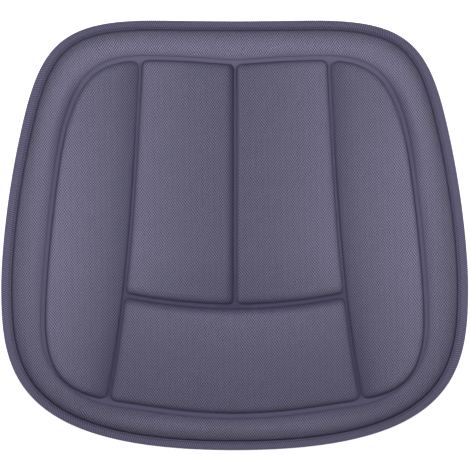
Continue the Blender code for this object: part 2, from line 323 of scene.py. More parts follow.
def frontShape():
    return roundedOutline((
        stretch(crossFront, leftSide, seatSide),
        stretch(seatSide, crossFront, fieldFront),
        stretch(fieldFront, seatSide, leftSide),
        stretch(leftSide, fieldFront, crossFront),
    ), plan["frontCorners"])


# Each pad: its outline, its crest, how far in its shoulder reaches, and the side, if any,
# where it slopes more softly, with that slope's reach and its share of the rise
middleLine = np.array(((0.0, 0.18), (0.0, -0.08)))
bolster = {
    "outline": bolsterShape(), "crest": level["bolster"], "reach": 0.0088,
    "softSide": wallLine, "softReach": 0.034, "softShare": 0.70}
pads = {
    "right_bolster_foam": bolster,
    "left_bolster_foam": bolster | {
        "outline": turned(bolster["outline"]), "softSide": wallLine * (-1, 1)},
    "centre_right_foam": {
        "outline": centreShape(plan["middleRight"]), "crest": level["centre"], "reach": 0.0088},
    "centre_left_foam": {
        "outline": turned(centreShape(plan["middleLeft"])), "crest": level["centre"],
        "reach": 0.0088, "softSide": middleLine, "softReach": 0.013, "softShare": 0.45},
    "front_foam": {"outline": frontShape(), "crest": level["front"], "reach": 0.011},
}

rim = {
    "crestAt": 0.62, "outerPower": 0.68, "innerPower": 0.80, "step": 0.0012, "stepWidth": 0.0004,
    "leastWidth": 0.001, "free": 0.012,
}
pad = {"power": 0.44, "free": 0.012}
puff = {
    "gridStep": 0.005, "frames": 20, "held": 0.35, "reserve": 0.0022, "slack": 0.001, "smooth": 3,
    "cloth": {
        "quality": 5, "mass": 0.3, "tension_stiffness": 25, "compression_stiffness": 25,
        "shear_stiffness": 10, "bending_stiffness": 2, "vertex_group_mass": "held",
        "use_pressure": True, "uniform_pressure_force": 4.0,
    },
}


def shoulder(share, power):
    share = np.clip(share, 0, 1)
    return (1 - (1 - share) ** 2) ** power


def coverHeight(points, below=0.0):
    # height of the cover before it puffs, or of a surface so far below it,
    # and how freely each point can move, from 0 to 1
    low = level["land"] - below
    z = np.full(len(points), level["edge"] - below)
    free = np.zeros(len(points))
    fromSeam = depthIn(points, seamLoop)
    fromFoot = -depthIn(points, rimFoot)
    onRim = (fromSeam > 0) & (fromFoot > 0)
    whole = np.maximum(fromSeam + fromFoot, rim["leastWidth"])
    rise = level["roll"] - puff["reserve"] - level["edge"]
    share = (fromSeam - below) / whole / rim["crestAt"]
    outer = level["edge"] - below + rise * shoulder(share, rim["outerPower"])
    fall = level["roll"] - puff["reserve"] - level["land"]
    back = (fromFoot - below) / whole / (1 - rim["crestAt"])
    step = rim["step"] * np.clip((fromFoot - below) / rim["stepWidth"], 0, 1)
    inner = low + step + (fall - rim["step"]) * shoulder(back, rim["innerPower"])
    beyond = fromSeam / whole > rim["crestAt"]
    z = np.where(onRim, np.where(beyond, inner, outer), z)
    free = np.where(onRim, np.minimum(fromSeam, fromFoot) / rim["free"], free)
    z = np.where(fromFoot <= 0, low, z)
    for shape in pads.values():
        depth = depthIn(points, shape["outline"])
        rise = shoulder((depth - below) / shape["reach"], pad["power"])
        if "softSide" in shape:
            away = depthIn(points, shape["softSide"], closed=False)
            near = 1 - np.clip(away / shape["softReach"], 0, 1)
            rise = rise * (1 - shape["softShare"] * near ** 2)
        height = low + (shape["crest"] - puff["reserve"] - level["land"]) * rise
        z = np.where(depth > 0, height, z)
        free = np.where(depth > 0, depth / pad["free"], free)
    return z, np.clip(free, 0, 1)


def puffGrid():
    # a coarse sheet of the cover, held along the channels and blown up by cloth simulation
    lo, hi = cadBox
    step = puff["gridStep"]
    countX = math.ceil((hi.x - lo.x) / step)
    countY = math.ceil((hi.y - lo.y) / step)
    bpy.ops.mesh.primitive_grid_add(x_subdivisions=countX, y_subdivisions=countY, size=1)
    sheet = bpy.context.object
    xs = np.linspace(lo.x, hi.x, countX + 1)
    ys = np.linspace(lo.y, hi.y, countY + 1)
    flat = np.stack(np.meshgrid(xs, ys), axis=-1).reshape(-1, 2)
    z, free = coverHeight(flat)
    rest = np.column_stack([flat, z])
    sheet.data.vertices.foreach_set("co", rest.ravel())
    held = sheet.vertex_groups.new(name="held")
    for index in np.flatnonzero(free < puff["held"]):
        held.add([int(index)], 1.0, "REPLACE")
    cloth = sheet.modifiers.new("Cloth", "CLOTH")
    for name, value in puff["cloth"].items():
        setattr(cloth.settings, name, value)
    cloth.settings.effector_weights.gravity = 0
    cloth.collision_settings.use_collision = False
    scene = bpy.context.scene
    for number in range(1, puff["frames"] + 1):
        scene.frame_set(number)
    evaluated = sheet.evaluated_get(bpy.context.evaluated_depsgraph_get())
    moved = np.empty(3 * len(rest))
    evaluated.data.vertices.foreach_get("co", moved)
    lift = moved.reshape(-1, 3)[:, 2] - rest[:, 2]
    scene.frame_set(1)
    print(f"  puffed by {1000 * lift.min():.2f} to {1000 * lift.max():.2f} mm")
    bpy.data.objects.remove(sheet, do_unlink=True)
    lift = np.clip(lift, -puff["slack"], puff["reserve"]).reshape(len(ys), len(xs))
    for _ in range(puff["smooth"]):
        padded = np.pad(lift, 1, mode="edge")
        lift = (padded[:-2, 1:-1] + padded[2:, 1:-1] + padded[1:-1, :-2] + padded[1:-1, 2:]
                + 2 * lift) / 6
    return xs, ys, lift


def fromGrid(points, grid):
    # smooth reading of the grid: a cubic B-spline, which also evens out single points
    xs, ys, values = grid
    total = np.zeros(len(points))
    spare = 2.001  # keeps the four by four points around each place on the grid
    u = np.clip((points[:, 0] - xs[0]) / (xs[1] - xs[0]), 1, len(xs) - spare)
    v = np.clip((points[:, 1] - ys[0]) / (ys[1] - ys[0]), 1, len(ys) - spare)
    i, j = u.astype(int), v.astype(int)

    def weights(t):
        return ((1 - t) ** 3 / 6, (3 * t ** 3 - 6 * t ** 2 + 4) / 6,
                (-3 * t ** 3 + 3 * t ** 2 + 3 * t + 1) / 6, t ** 3 / 6)

    for row, across in enumerate(weights(v - j)):
        for column, along in enumerate(weights(u - i)):
            total += across * along * values[j + row - 1, i + column - 1]
    return total


def meshPiece(name, points, faces, material):
    mesh = bpy.data.meshes.new(name)
    mesh.from_pydata(points, [], faces)
    mesh.validate()
    mesh.materials.append(material)
    mesh.shade_smooth()
    piece = bpy.data.objects.new(name, mesh)
    bpy.context.scene.collection.objects.link(piece)
    return piece


def fillBetween(border, hole, loops, points):
    # triangles between a border and a hole, through the given loops and points
    fixed = [border] + ([] if hole is None else [hole]) + loops
    edges, start = [], 0
    for loop in fixed:
        count = len(loop)
        edges += [(start + i, start + (i + 1) % count) for i in range(count)]
        start += count
    outer = list(range(len(border)))[::-1]
    every = [Vector(p) for p in np.concatenate(fixed + [points])]
    inside, tolerance = 1, 1e-7
    flat, _, faces, *_ = delaunay_2d_cdt(every, edges, [outer], inside, tolerance)
    flat = np.array(flat)
    if hole is not None:
        middles = flat[np.array(faces)].mean(axis=1)
        faces = [f for f, away in zip(faces, -depthIn(middles, hole)) if away > 0]
    return flat, [list(f) for f in faces]


def storeShade(piece, name, values):
    attribute = piece.data.attributes.new(name, "FLOAT", "POINT")
    attribute.data.foreach_set("value", values)


def meshBetween(name, flat, faces, top, bottom, material):
    # a closed body between an upper and a lower surface over the same triangles
    count = len(flat)
    used = {(a, b) for face in faces for a, b in zip(face, face[1:] + face[:1])}
    sides = [[b, a, a + count, b + count] for a, b in used if (b, a) not in used]
    under = [[i + count for i in face[::-1]] for face in faces]
    points = np.concatenate([np.column_stack([flat, top]), np.column_stack([flat, bottom])])
    return meshPiece(name, points, faces + under + sides, material)


def gridIn(border, step, margin, hole=None):
    # points in staggered rows that stay clear of the border
    lo, hi = border.min(axis=0), border.max(axis=0)
    rowStep = step * math.sqrt(3) / 2
    points = []
    for row in range(int((hi[1] - lo[1]) / rowStep) + 1):
        xs = np.arange(lo[0] + (row % 2) * step / 2, hi[0], step)
        points.append(np.stack([xs, np.full(len(xs), lo[1] + row * rowStep)], axis=1))
    points = np.concatenate(points)
    points = points[depthIn(points, border) > margin]
    if hole is not None:
        points = points[depthIn(points, hole) < -margin]
    return points


# Painted light and shade on the cover and the tape. It is no property of the cloth: it is set
# for the lamps below, and a strength of 0 leaves it out.
paint = {"strength": 1.0}

# Painted shade in the folds: place from front to rear, and the share there
crease = {
    "seam": 0.58, "seamAt": 0.0002, "seamWidth": 0.0009, "footAt": 0.0003, "footWidth": 0.0007,
    "rimFoot": ((-0.19, -0.17, 0.0, 0.15), (0.35, 0.10, 0.22, 0.22)),
    "bolster": ((-0.16, -0.10, 0.07, 0.13), (-0.10, 0.60, 0.68, -0.15)),
    "centre": ((-0.065, -0.05, 0.13, 0.165), (-0.25, 0.15, 0.22, 0.60)),
    "front": ((-0.18, -0.15, -0.09), (-0.38, 0.25, 0.25)),
}


def kindOf(node):
    return next(name for name in ("bolster", "centre", "front") if name in node)


def paintedFoldShadeOf(points):
    # painted shade: darkest in the fold beside the tape, less at the feet of the pads, and below 0,
    # as painted light, at the feet that the lamps leave too dark
    y = points[:, 1]
    fromSeam = np.abs(depthIn(points, seamLoop) - crease["seamAt"])
    dark = crease["seam"] * np.exp(-(fromSeam / crease["seamWidth"]) ** 2)
    fromFoot = np.abs(depthIn(points, rimFoot))
    fold = np.interp(y, *crease["rimFoot"]) * np.exp(-(fromFoot / crease["footWidth"]) ** 2)
    dark = np.maximum(dark, fold)
    for node, shape in pads.items():
        away = np.abs(depthIn(points, shape["outline"]) - crease["footAt"])
        fold = np.interp(y, *crease[kindOf(node)]) * np.exp(-(away / crease["footWidth"]) ** 2)
        dark = np.where(np.abs(fold) > np.abs(dark), fold, dark)
    return dark


# Painted light and shade on each stretch: place across the piece, or from front to rear, and the
# factor there
paintedTone = {
    "rimAt": (0.0, 0.1, 0.2, 0.34, 0.5, 0.68, 0.85, 1.0),
    "rimRear": (0.70, 0.74, 0.90, 1.18, 1.24, 1.29, 1.22, 1.07),
    "rimSide": (0.80, 0.85, 0.91, 1.05, 1.14, 1.17, 1.12, 1.07),
    "rimFront": (0.62, 0.62, 0.74, 1.00, 1.06, 1.02, 0.97, 0.92),
    "bolster": ((0.0, 0.006, 0.012, 0.026, 0.050, 0.080), (0.76, 0.79, 0.83, 1.00, 1.14, 1.22)),
    "centre": ((0.0, 0.045, 0.080, 0.105), (0.83, 0.92, 1.06, 1.18)),
    "front": ((-0.19, -0.13, -0.085), (0.73, 0.85, 1.00)),
    "land": ((-0.19, -0.10, 0.0, 0.09, 0.15, 0.18), (0.80, 0.95, 1.01, 0.94, 0.92, 1.13)),
    "channel": ((-0.16, -0.09, -0.06, -0.03, 0.10), (0.50, 0.60, 0.64, 0.80, 0.82)),
    "middleChannel": 0.86,
    "bolsterAlong": ((-0.19, -0.12, -0.03, 0.08, 0.14), (0.84, 0.88, 0.99, 0.99, 0.94)),
    "centreAlong": ((-0.06, -0.02), (0.90, 1.00)),
    "bolsterOuter": ((0.155, 0.19), (1.0, 1.08)),
    "wallFront": ((-0.14, -0.07), (0.10, 0.0)),
    "frontCorner": 0.16,
    "turnReach": 0.15, "channelFrom": 0.005, "channelReach": 0.005, "middleReach": 0.02,
    "wallReach": 0.025,
}

# Bands of painted shade beside the channels, painted light where the share is below 0: the line they
# follow, their reach and share
paintedShadeBands = {
    "foot": {"reach": 0.0118, "share": ((-0.16, -0.10, 0.10, 0.18), (0.15, 0.0, 0.0, 0.15))},
    "rimFoot": {
        "reach": 0.0105,
        "share": ((-0.19, -0.18, -0.165, -0.09, -0.04, 0.05, 0.11, 0.15, 0.18),
                  (0.22, 0.10, -0.16, -0.10, 0.03, 0.06, 0.30, 0.30, 0.0))},
    "centre": {"line": crossLine, "reach": 0.0108, "share": 0.22},
    "front": {"line": crossLine, "reach": 0.0098, "share": 0.47},
    "centre_left": {"line": middleLine, "reach": 0.0088, "share": 0.34},
    "centre_right": {"line": middleLine, "reach": 0.0090, "share": -0.14},
}


def paintedToneOf(points):
    # painted light and shade: lighter on the crests, darker on the slopes and in the channels, and
    # varying from front to rear
    x, y = np.abs(points[:, 0]), points[:, 1]
    fromSeam = np.maximum(depthIn(points, seamLoop), 0)
    inFoot = depthIn(points, rimFoot)
    share = fromSeam / np.maximum(fromSeam + np.maximum(-inFoot, 0), rim["leastWidth"])
    facing = np.clip(y / paintedTone["turnReach"], -1, 1)
    side, rear, front = (np.interp(share, paintedTone["rimAt"], paintedTone[name])
                         for name in ("rimSide", "rimRear", "rimFront"))
    tone = side + np.maximum(facing, 0) * (rear - side) + np.maximum(-facing, 0) * (front - side)
    corner = np.where(y < 0, (2 * x * y / (x ** 2 + y ** 2)) ** 4, 0)
    tone = tone * (1 - paintedTone["frontCorner"] * corner)
    share = np.interp(y, *paintedShadeBands["rimFoot"]["share"])
    tone = tone * (1 - share * (1 - np.clip(-inFoot / paintedShadeBands["rimFoot"]["reach"], 0, 1) ** 2))
    channel = np.interp(y, *paintedTone["channel"])
    channel = channel * np.where(x < paintedTone["middleReach"], paintedTone["middleChannel"], 1)
    land = np.interp(y, *paintedTone["land"])
    within = np.clip((inFoot - paintedTone["channelFrom"]) / paintedTone["channelReach"], 0, 1)
    land = land + (channel - land) * within
    tone = np.where(inFoot >= 0, land, tone)
    fromWall = depthIn(points, wallLine, closed=False)
    fromWall = np.minimum(fromWall, depthIn(points, wallLine * (-1, 1), closed=False))
    places = {"bolster": fromWall, "centre": x, "front": y}
    foot = np.interp(y, *paintedShadeBands["foot"]["share"])
    foot = 1 - foot * (1 - np.clip(inFoot / paintedShadeBands["foot"]["reach"], 0, 1) ** 3)
    for node, shape in pads.items():
        inside = depthIn(points, shape["outline"]) > 0
        factor = np.interp(places[kindOf(node)], *paintedTone[kindOf(node)]) * foot
        if "centre" in node:
            factor = factor * np.interp(y, *paintedTone["centreAlong"])
        if "bolster" in node:
            lower = 1 - np.clip(fromWall / paintedTone["wallReach"], 0, 1)
            lower = np.interp(y, *paintedTone["wallFront"]) * lower
            factor = factor * np.interp(y, *paintedTone["bolsterAlong"]) * (1 - lower)
            factor = factor * np.interp(x, *paintedTone["bolsterOuter"])
        for name, band in paintedShadeBands.items():
            if "line" in band and name in node:
                away = depthIn(points, band["line"], closed=False)
                factor = factor * (1 - band["share"] * (1 - np.clip(away / band["reach"], 0, 1) ** 3))
        tone = np.where(inside, factor, tone)
    return tone


cover = {
    "bands": (0.0005, 0.0011, 0.0020, 0.0032, 0.0048, 0.0068, 0.0095),
    "beyondBands": 0.002, "fill": 0.0040, "fillMargin": 0.001, "edgeMargin": 0.0008,
    "tuck": 0.0035, "pressedReach": 0.0035,
}
closeness = 0.93  # how near another line a point may come, as a share of its own distance


def buildCover(material, grid):
    # points crowd along the channels, where the cloth bends sharply, and thin out on the pads
    loops = [seamLoop, rimFoot] + [shape["outline"] for shape in pads.values()]
    edge = inset(outline, cover["tuck"], plan["sideWidening"])
    extra, sizes = [], []
    for loop in loops:
        for band in cover["bands"]:
            for side in (1, -1):
                extra.append(inset(loop, side * band))
                sizes.append(np.full(len(loop), band))
    rows = gridIn(edge, cover["fill"], cover["fillMargin"])
    extra = np.concatenate(extra + [rows])
    rowSize = cover["bands"][-1] + cover["beyondBands"]
    sizes = np.concatenate(sizes + [np.full(len(rows), rowSize)])
    away = np.min([np.abs(depthIn(extra, loop)) for loop in loops], axis=0)
    keep = (away > closeness * sizes) & (depthIn(extra, edge) > cover["edgeMargin"])
    flat, faces = fillBetween(edge, None, loops, extra[keep])
    top, free = coverHeight(flat)
    bottom, _ = coverHeight(flat, coverSheet)
    lift = fromGrid(flat, grid) * free
    piece = meshBetween("coverCloth", flat, faces, top + lift, bottom + lift, material)
    # the pressed share, the painted fold shade and the painted light and shade, stored on the points
    strength = paint["strength"]
    shades = {
        "pressed": 1 - np.clip(free * pad["free"] / cover["pressedReach"], 0, 1),
        "crease": strength * paintedFoldShadeOf(flat),
        "tone": 1 + strength * (paintedToneOf(flat) - 1),
    }
    for name, share in shades.items():
        storeShade(piece, name, np.concatenate([share, share]))
    print(f"  cover: {len(piece.data.polygons)} faces")
    return piece


foam = {
    "step": 0.006, "bands": (0.0006, 0.0016, 0.0035, 0.0065), "beyondBands": 0.002,
    "ease": 0.0001, "under": 0.0001,
}


def buildFoam(name, border, hole, topOf, bottomOf, material):
    # a block between an upper and a lower surface, with closer points along its edges
    points, sizes = [], []
    edges = [(border, 1)] if hole is None else [(border, 1), (hole, -1)]
    for edge, side in edges:
        for band in foam["bands"]:
            points.append(inset(edge, side * band))
            sizes.append(np.full(len(edge), band))
    points = np.concatenate(points)
    away = np.min([np.abs(depthIn(points, edge)) for edge, _ in edges], axis=0)
    points = points[away > closeness * np.concatenate(sizes)]
    rows = gridIn(border, foam["step"], foam["bands"][-1] + foam["beyondBands"], hole)
    flat, faces = fillBetween(border, hole, [], np.concatenate([points, rows]))
    return meshBetween(name, flat, faces, topOf(flat), bottomOf(flat), material)


def underCover(flat, grid):
    # the foam fills the cover from below
    z, free = coverHeight(flat, coverSheet)
    return z - foam["ease"] + fromGrid(flat, grid) * free


def buildPads(material, grid):
    pieces = {}
    under = level["filmHigh"] + foam["under"]
    for node, shape in pads.items():
        name = node.title().replace("_", "")
        pieces[node] = buildFoam(
            name[0].lower() + name[1:], inset(shape["outline"], coverSheet + foam["ease"]), None,
            lambda flat: underCover(flat, grid), lambda flat: np.full(len(flat), under), material)
    return pieces


rimFoam = {
    "outer": 0.0015, "inner": 0.0014, "leastGap": 0.1, "baseTuck": 0.0022,
    "along": (0.0012, 0.0030, 0.0060, 0.0100), "climb": (0.0, 0.25, 0.66, 1.0),
}


def baseSlope(fromSeam):
    # how the base foam's edge slopes back from the seam
    top = level["baseHigh"] - level["edge"]
    return level["edge"] + top * np.interp(fromSeam, rimFoam["along"], rimFoam["climb"])


def buildRimFoam(material, grid):
    border = inset(seamLoop, rimFoam["outer"])
    hole = inset(rimFoot, -rimFoam["inner"])

    def bottomOf(flat):
        fromSeam = depthIn(flat, seamLoop)
        gap = level["filmHigh"] + foam["under"] - level["baseHigh"]
        opened = np.clip(fromSeam / rimFoam["along"][-1], rimFoam["leastGap"], 1)
        return baseSlope(fromSeam) + gap * opened

    return buildFoam(
        "rimFoam", border, hole, lambda flat: underCover(flat, grid), bottomOf, material)


def buildBase(material):
    return buildFoam(
        "baseFoam", inset(seamLoop, rimFoam["baseTuck"]), None,
        lambda flat: baseSlope(depthIn(flat, seamLoop)),
        lambda flat: np.full(len(flat), level["baseLow"]), material)


tape = {
    "ribPitch": 0.0021, "ribSteps": 3, "ribHeight": 0.00010, "lean": 0.45, "sheet": 0.0008,
    "foldRadius": 0.0016, "innerFold": 0.0006, "foldSteps": 8, "flatSteps": 12,
    "seam": 0.79, "grooveDepth": 0.00035, "grooveWidth": 0.0007, "pull": 0.0005, "pullFrom": 0.88,
    # painted light and shade, by how far the edge faces front or rear, and across the tape
    "paintedToneAlong": ((0.0, 0.5, 0.9), (1.04, 0.95, 0.86)),
    "paintedToneAcross": ((0.60, 0.76), (1.0, 0.87)),
}


def tapeSection():
    # the folded tape seen end on: distance in from the edge, and height
    low, high, sheet = level["tapeLow"], level["tapeHigh"], tape["sheet"]
    middle, half = (low + high) / 2, (high - low) / 2
    width, fold = plan["tapeWidth"], tape["foldRadius"]
    section = []
    for x in np.linspace(width, fold, tape["flatSteps"] + 1)[:-1]:
        fromGroove = (x - tape["seam"] * width) / tape["grooveWidth"]
        groove = tape["grooveDepth"] * math.exp(-fromGroove ** 2)
        pull = max(0.0, (x / width - tape["pullFrom"]) / (1 - tape["pullFrom"]))
        section.append((x, high - groove - tape["pull"] * pull ** 2))
    for step in range(tape["foldSteps"] + 1):
        angle = math.pi * step / tape["foldSteps"]
        section.append((fold * (1 - math.sin(angle)), middle + half * math.cos(angle)))
    section += [(0.5 * width, low), (width, low)]
    outer = len(section)
    fold += tape["innerFold"]
    section += [
        (width, low + sheet), (0.5 * width, low + sheet), (fold, low + sheet),
        (sheet, middle), (fold, high - sheet), (0.6 * width, high - sheet),
        (width, high - sheet - tape["pull"]),
    ]
    return section, outer


def buildTape(material):
    # a ribbed tape folded round the edge, swept along the outline
    half = lineThrough(plan["outline"], plan["lineSteps"])
    ribs = 2 * round(lengthOf(half) / tape["ribPitch"])
    loop = mirrored(evenly(half, ribs * tape["ribSteps"] // 2))
    section, outer = tapeSection()
    normal = inwards(loop)
    widened = 1 + plan["sideWidening"] * normal[:, :1] ** 2
    along = np.arange(len(loop)) / tape["ribSteps"]
    travelled = np.cumsum([0] + [math.dist(a, b) for a, b in zip(section, section[1:])])
    rings = []
    for index, (distance, z) in enumerate(section):
        before, after = section[index - 1], section[(index + 1) % len(section)]
        out = Vector((before[1] - after[1], after[0] - before[0])).normalized()
        out = -out if index < outer else Vector((0, 0))
        phase = along + tape["lean"] * travelled[index] / tape["ribPitch"]
        bump = tape["ribHeight"] * (np.cos(2 * math.pi * phase) - 1) * (index < outer)
        place = loop + normal * (distance + bump * out.x)[:, None] * widened
        rings.append(np.column_stack([place, z + bump * out.y]))
    points = np.stack(rings, axis=1).reshape(-1, 3)
    size, count = len(section), len(loop)
    faces, corners = [], []
    for i in range(count):
        j = (i + 1) % count
        for k in range(size):
            m = (k + 1) % size
            faces.append((i * size + k, j * size + k, j * size + m, i * size + m))
            corners += [(i, k), (i + 1, k), (i + 1, k + 1), (i, k + 1)]
    piece = meshPiece("edgeTape", points, faces, material)
    across = np.array([distance for distance, _ in section]) / plan["tapeWidth"]
    # painted light and shade on the tape, stored on its points
    shade = np.interp(np.abs(normal[:, 1]), *tape["paintedToneAlong"])[:, None]
    shade = shade * np.interp(across, *tape["paintedToneAcross"])
    storeShade(piece, "tone", 1 + paint["strength"] * (shade.ravel() - 1))
    layer = piece.data.uv_layers.new(name="tape")
    travelled = np.append(travelled, travelled[-1] + tape["sheet"])
    corners = np.array(corners)
    places = (corners[:, 0] / tape["ribSteps"], travelled[corners[:, 1]] / tape["ribPitch"])
    layer.data.foreach_set("uv", np.column_stack(places).ravel())
    return piece


def repeatPiece(piece, count, offset):
    row = piece.modifiers.new("Row", "ARRAY")
    row.count = count
    row.use_relative_offset = False
    row.use_constant_offset = True
    row.constant_offset_displace = offset
    bpy.ops.object.modifier_apply(modifier="Row")


stitch = {
    "pitch": 0.0036, "length": 0.0029, "thickness": 0.00065, "dip": 0.00035, "sides": 7,
    "cuts": (-0.36, -0.15, 0.15, 0.36), "taper": 0.55,
}


def buildStitches(name, z, dip, material):
    # one stitch, its ends bent into the tape, then repeated and carried along the seam
    seam = inset(outline, tape["seam"] * plan["tapeWidth"], plan["sideWidening"])
    around = np.concatenate([seam, seam[:1]])
    count = round(lengthOf(around) / stitch["pitch"])
    route = bpy.data.curves.new("seam", "CURVE")
    route.dimensions = "3D"
    route.twist_mode = "Z_UP"
    spline = route.splines.new("POLY")
    spline.points.add(len(seam) - 1)
    for point, place in zip(spline.points, seam):
        point.co = (*place, z, 1)
    spline.use_cyclic_u = True
    guide = bpy.data.objects.new("seamGuide", route)
    bpy.context.scene.collection.objects.link(guide)
    bpy.ops.object.select_all(action="DESELECT")
    bpy.ops.mesh.primitive_cylinder_add(
        vertices=stitch["sides"], radius=stitch["thickness"] / 2, depth=stitch["length"],
        end_fill_type="TRIFAN", rotation=(0, math.pi / 2, 0))
    one = bpy.context.object
    one.name = name
    bpy.ops.object.transform_apply(location=False, rotation=True, scale=True)
    bpy.ops.object.mode_set(mode="EDIT")
    for cut in stitch["cuts"]:
        bpy.ops.mesh.select_all(action="SELECT")
        bpy.ops.mesh.bisect(plane_co=(cut * stitch["length"], 0, 0), plane_no=(1, 0, 0))
    bpy.ops.object.mode_set(mode="OBJECT")
    for vertex in one.data.vertices:
        share = abs(vertex.co.x) / (stitch["length"] / 2)
        vertex.co.y *= 1 - stitch["taper"] * share ** 4
        vertex.co.z = vertex.co.z * (1 - stitch["taper"] * share ** 4) - dip * share ** 2
    repeatPiece(one, count, (lengthOf(around) / count, 0, 0))
    follow = one.modifiers.new("Follow", "CURVE")
    follow.object = guide
    bpy.ops.object.modifier_apply(modifier="Follow")
    bpy.data.objects.remove(guide, do_unlink=True)
    one.data.materials.append(material)
    one.data.shade_smooth()
    return one


lining = {
    "sheet": 0.0006, "step": 0.006, "bend": 0.0008, "slope": 0.0040, "tuck": 0.0032,
    "sag": 0.0001, "sagFrom": 0.003, "waves": (70, 55),
}


def buildLining(material):
    # the cloth under the foam: flat on its dots, stepped up into the tape
    low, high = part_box("backing_cloth")
    climb = high.z - lining["sheet"] - low.z
    border = inset(outline, lining["tuck"])
    inner = inset(outline, plan["tapeWidth"] + lining["slope"], plan["sideWidening"])
    bend = inset(outline, plan["tapeWidth"] + lining["bend"], plan["sideWidening"])
    loops = [evenly(np.concatenate([l, l[:1]]), len(l) // 2)[:-1] for l in (border, bend, inner)]
    rows = gridIn(loops[2], lining["step"], lining["step"] / 2)
    flat, faces = fillBetween(loops[0], None, loops[1:], rows)
    away = depthIn(flat, loops[2])
    share = np.clip(-away / (lining["slope"] - lining["bend"]), 0, 1)
    wave = np.sin(lining["waves"][0] * flat[:, 0]) * np.sin(lining["waves"][1] * flat[:, 1])
    sag = lining["sag"] + wave * lining["sag"]
    bottom = low.z + climb * share + np.where(away > lining["sagFrom"], sag, 0)
    return meshBetween("liningCloth", flat, faces, bottom + lining["sheet"], bottom, material)


def deselectMesh():
    bpy.ops.object.mode_set(mode="EDIT")
    bpy.ops.mesh.select_all(action="DESELECT")
    bpy.ops.object.mode_set(mode="OBJECT")


dots = {
    "pitch": 0.012, "radius": 0.0026, "height": 0.0010, "rounding": 0.45, "sides": 10,
    "margin": 0.009, "smoothUpTo": 0.9,
}


def buildDots(material):
    # one moulded dot, repeated over the lining in staggered rows
    lo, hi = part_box("grip_layer")
    rowStep = dots["pitch"] * math.sqrt(3)
    columns = 2 * int(hi.x / dots["pitch"]) + 1
    rows = 2 * int(hi.y / rowStep) + 1
    bpy.ops.object.select_all(action="DESELECT")
    bpy.ops.mesh.primitive_cylinder_add(
        vertices=dots["sides"], radius=dots["radius"], depth=dots["height"],
        location=(0, 0, lo.z + dots["height"] / 2))
    one = bpy.context.object
    one.name = "gripDots"
    bpy.ops.object.transform_apply(location=True, rotation=True, scale=True)
    deselectMesh()
    for face in one.data.polygons:
        face.select = face.normal.z < -0.9
    bpy.ops.object.mode_set(mode="EDIT")
    bpy.ops.mesh.bevel(offset=dots["height"] * dots["rounding"], segments=2, affect="EDGES")
    bpy.ops.mesh.select_all(action="SELECT")
    bpy.ops.transform.translate(value=(-(columns // 2) * dots["pitch"], -(rows // 2) * rowStep, 0))
    bpy.ops.mesh.duplicate_move(TRANSFORM_OT_translate={"value": (dots["pitch"] / 2, rowStep / 2, 0)})
    bpy.ops.object.mode_set(mode="OBJECT")
    repeatPiece(one, columns, (dots["pitch"], 0, 0))
    repeatPiece(one, rows, (0, rowStep, 0))
    # those that would cross the lining's edge are left out
    limit = inset(outline, plan["tapeWidth"] + dots["margin"], plan["sideWidening"])
    size = len(one.data.vertices) // (2 * columns * rows)
    places = np.empty(3 * len(one.data.vertices))
    one.data.vertices.foreach_get("co", places)
    middles = places.reshape(-1, size, 3).mean(axis=1)[:, :2]
    inside = depthIn(middles, limit) > 0
    deselectMesh()
    one.data.vertices.foreach_set("select", np.repeat(~inside, size))
    bpy.ops.object.mode_set(mode="EDIT")
    bpy.ops.mesh.delete(type="VERT")
    bpy.ops.object.mode_set(mode="OBJECT")
    one.data.materials.append(material)
    bpy.ops.object.shade_smooth_by_angle(angle=dots["smoothUpTo"])
    print(f"  {inside.sum()} dots")
    return one


# Materials, and the node settings that they share
times = {"operation": "MULTIPLY"}
timesPlus = {"operation": "MULTIPLY_ADD"}
twoColours = {"data_type": "RGBA"}

# Ribs are counted per metre, across and along; foldShade is the share of painted shade in the folds,
# and shadeTint the blue added where painted shade darkens the cloth
twill = {
    "ribs": ((372.0, 278.0), (-409.0, 281.0)), "wander": 0.8, "dark": "#1B1829",
    "light": "#A19DBC", "pressed": "#6A6681", "flattened": 0.85, "foldShade": 0.65,
    "shadeTint": "#0E003A",
}


